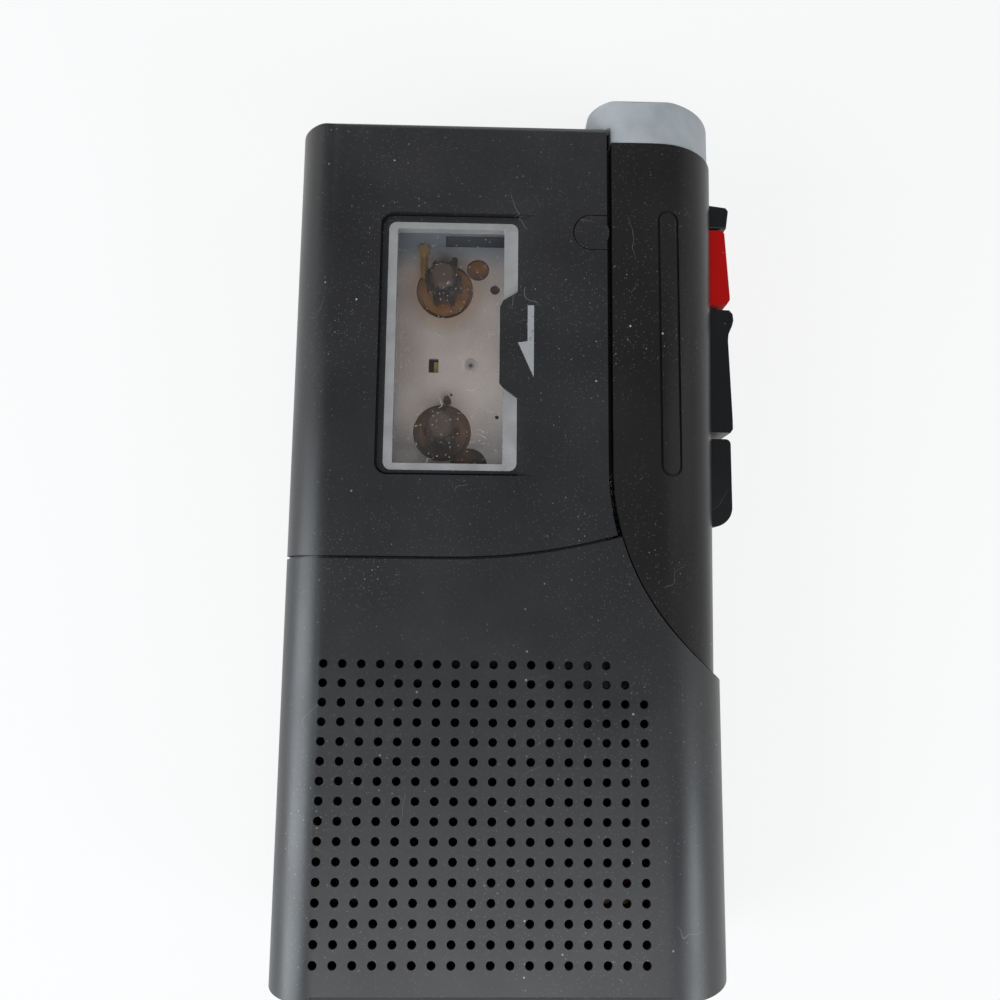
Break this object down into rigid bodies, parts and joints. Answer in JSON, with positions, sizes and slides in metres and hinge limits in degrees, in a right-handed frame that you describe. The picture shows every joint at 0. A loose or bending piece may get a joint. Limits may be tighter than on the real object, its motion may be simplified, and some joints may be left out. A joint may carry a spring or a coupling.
{
  "type": "microcassette recorder",
  "caption": "Pocket microcassette recorder: black case with speaker grille, hinged cassette door with a window, side keys, grey microphone cap and a tape drive inside.",
  "frame": {"origin": "middle of the flat back face", "axes": "lies on its back: +X to the keys, +Y to the microphone end, +Z out of the front"},
  "size_m": [0.0657, 0.1234, 0.024],
  "materials": {
    "case_plastic": "fine matte moulding",
    "panel_plastic": "satin black",
    "key_plastic": "satin black",
    "red_plastic": "gloss red",
    "cap_plastic": "satin light grey",
    "frame_plastic": "pale grey",
    "window_plastic": "clear",
    "deck_metal": "warm grey, dusty",
    "steel": "bare",
    "brass": "bare",
    "reel_plastic": "amber brown",
    "rubber": "matte",
    "black_plastic": "matte black",
    "cloth": "black cloth and paper",
    "board": "green board",
    "cell_sleeve": "plain dark sleeve"
  },
  "bodies": {
    "case": {"rear_case": "case_plastic", "front_case": "case_plastic", "side_panel": "panel_plastic", "mic_cap": "cap_plastic", "deck_plate": "deck_metal", "hinge_pin": "steel", "key_rail": "steel", "key_springs": "steel", "rocker_pin": "steel", "deck_screws": "steel", "deck_rivet": "steel", "reel_pins": "steel", "idler_pin": "steel", "motor_can": "steel", "speaker_frame": "steel", "speaker_magnet": "steel", "mic_capsule": "steel", "volume_control": "steel", "cell_link": "steel", "cell_plus": "steel", "cell_minus": "steel", "case_screws": "steel", "brass_lever": "brass", "capstan_bearing": "brass", "mic_boot": "rubber", "drive_belt": "rubber", "locating_pin": "black_plastic", "ear_socket": "black_plastic", "mic_socket": "black_plastic", "board_parts": "black_plastic", "grille_cloth": "cloth", "speaker_cone": "cloth", "circuit_board": "board", "battery_cells": "cell_sleeve"},
    "door": {"cassette_door": "case_plastic", "door_pad": "case_plastic", "window_frame": "frame_plastic", "window_pane": "window_plastic", "cassette_holder": "steel"},
    "pause": {"pause_slider": "key_plastic"},
    "record": {"record_key": "red_plastic"},
    "rocker": {"wind_rocker": "key_plastic"},
    "play": {"play_key": "key_plastic"},
    "heads": {"head_plate": "steel", "record_head": "steel", "erase_head": "black_plastic", "pinch_arm": "steel"},
    "roller": {"pinch_roller": "rubber"},
    "supply": {"supply_reel": "reel_plastic"},
    "takeup": {"takeup_reel": "reel_plastic"},
    "wheel": {"flywheel": "brass", "capstan": "steel"},
    "idler": {"idler_wheel": "rubber"},
    "pulley": {"motor_pulley": "brass"},
    "dial": {"volume_dial": "case_plastic"},
    "cover": {"battery_cover": "case_plastic"}
  },
  "joints": [
    {"name": "door_hinge", "type": "hinge", "parent": "case", "child": "door", "pos_m": [-0.0298, 0.0275, 0.0135], "axis": [0, -1, 0], "range_deg": [0, 80]},
    {"name": "pause_slide", "type": "slide", "parent": "case", "child": "pause", "axis": [0, 1, 0], "range_m": [0, 0.0025]},
    {"name": "record_push", "type": "slide", "parent": "case", "child": "record", "axis": [-1, 0, 0], "range_m": [0, 0.002], "stiffness_N_per_m": 500},
    {"name": "wind_rock", "type": "hinge", "parent": "case", "child": "rocker", "pos_m": [0.027, 0.02615, 0.0105], "axis": [0, 0, 1], "range_deg": [-3, 3], "stiffness_Nm_per_rad": 0.06},
    {"name": "head_slide", "type": "slide", "parent": "case", "child": "heads", "axis": [-1, 0, 0], "range_m": [0, 0.002], "stiffness_N_per_m": 600},
    {"name": "play_push", "type": "slide", "parent": "case", "child": "play", "axis": [-1, 0, 0], "range_m": [0, 0.002]},
    {"name": "roller_spin", "type": "hinge", "parent": "heads", "child": "roller", "pos_m": [0.0115, 0.0095, 0.016], "axis": [0, 0, 1], "continuous": true},
    {"name": "supply_spin", "type": "hinge", "parent": "case", "child": "supply", "pos_m": [-0.0097, 0.0388, 0.012], "axis": [0, 0, 1], "continuous": true},
    {"name": "wheel_spin", "type": "hinge", "parent": "case", "child": "wheel", "pos_m": [0.0056, 0.0095, 0.006], "axis": [0, 0, 1], "continuous": true},
    {"name": "takeup_spin", "type": "hinge", "parent": "case", "child": "takeup", "pos_m": [-0.0097, 0.0163, 0.012], "axis": [0, 0, 1], "continuous": true},
    {"name": "idler_spin", "type": "hinge", "parent": "case", "child": "idler", "pos_m": [0.00023, 0.01188, 0.0093], "axis": [0, 0, 1], "continuous": true},
    {"name": "pulley_spin", "type": "hinge", "parent": "case", "child": "pulley", "pos_m": [0.015, -0.014, 0.005], "axis": [0, 0, 1], "continuous": true},
    {"name": "dial_turn", "type": "hinge", "parent": "case", "child": "dial", "pos_m": [-0.014, 0.0538, 0.0063], "axis": [0, 0, 1], "range_deg": [-150, 150]},
    {"name": "cover_slide", "type": "slide", "parent": "case", "child": "cover", "axis": [0, -1, 0], "range_m": [0, 0.033]}
  ],
  "couplings": [
    {"joint": "play_push", "follows": "head_slide", "ratio": 1},
    {"joint": "takeup_spin", "follows": "wheel_spin", "ratio": 0.41176},
    {"joint": "idler_spin", "follows": "wheel_spin", "ratio": -1.6896},
    {"joint": "pulley_spin", "follows": "wheel_spin", "ratio": 5.7778}
  ]
}
